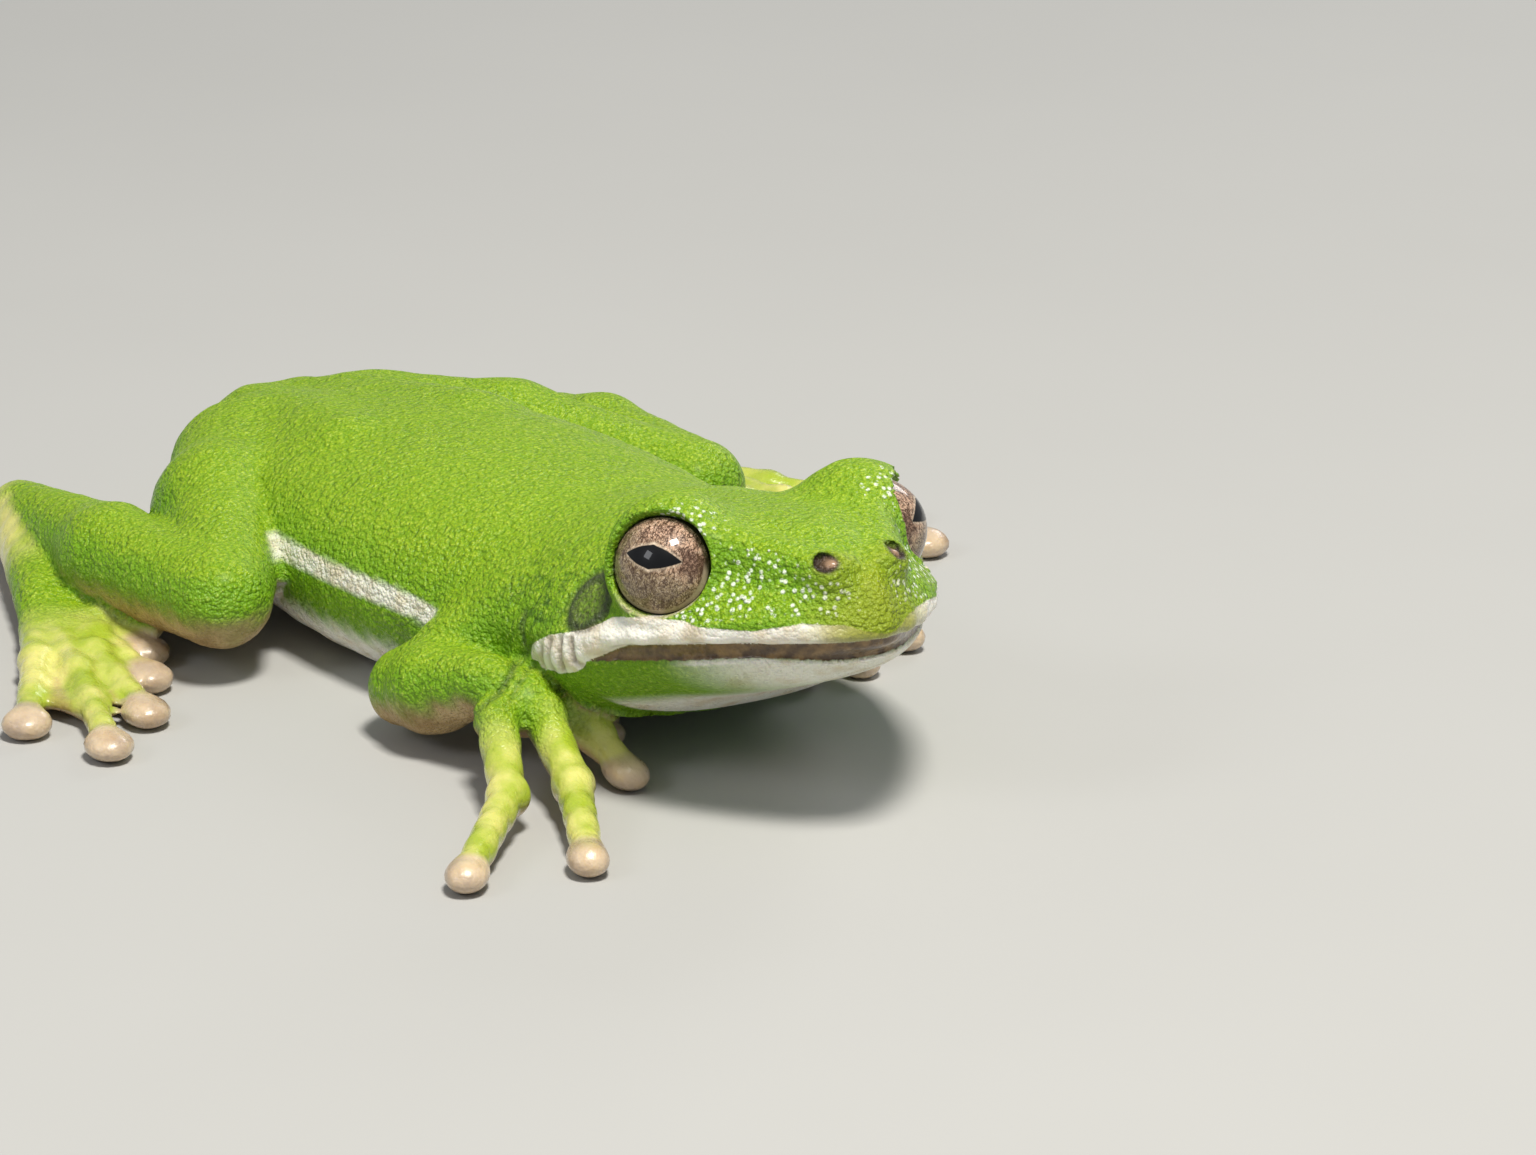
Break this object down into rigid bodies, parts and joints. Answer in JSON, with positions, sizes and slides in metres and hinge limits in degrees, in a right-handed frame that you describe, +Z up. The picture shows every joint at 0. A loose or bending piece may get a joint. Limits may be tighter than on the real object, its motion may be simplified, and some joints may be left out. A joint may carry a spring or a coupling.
{
  "type": "green tree frog",
  "caption": "Life-size green tree frog model crouching with its head raised, one hand spread ahead and long hind legs folded beside a flat trunk.",
  "frame": {"origin": "on the floor under the middle of the frog's box", "axes": "+X along the trunk towards the snout, +Y to the frog's left, +Z up"},
  "size_m": [0.0496, 0.0452, 0.0124],
  "materials": {
    "leaf_green_skin": "moist, finely granular",
    "cream_skin": "moist, granular",
    "toe_skin": "moist, smooth pads",
    "bronze_eye": "wet, polished"
  },
  "bodies": {
    "root": {"eye_left": "bronze_eye", "eye_right": "bronze_eye", "foot_left": "toe_skin", "foot_right": "toe_skin", "forearm_left": "leaf_green_skin", "forearm_right": "leaf_green_skin", "hand_left": "toe_skin", "hand_right": "toe_skin", "head": "leaf_green_skin", "lower_jaw": "cream_skin", "shank_left": "leaf_green_skin", "shank_right": "leaf_green_skin", "thigh_left": "leaf_green_skin", "thigh_right": "leaf_green_skin", "trunk": "leaf_green_skin", "upper_arm_left": "leaf_green_skin", "upper_arm_right": "leaf_green_skin"}
  },
  "joints": []
}
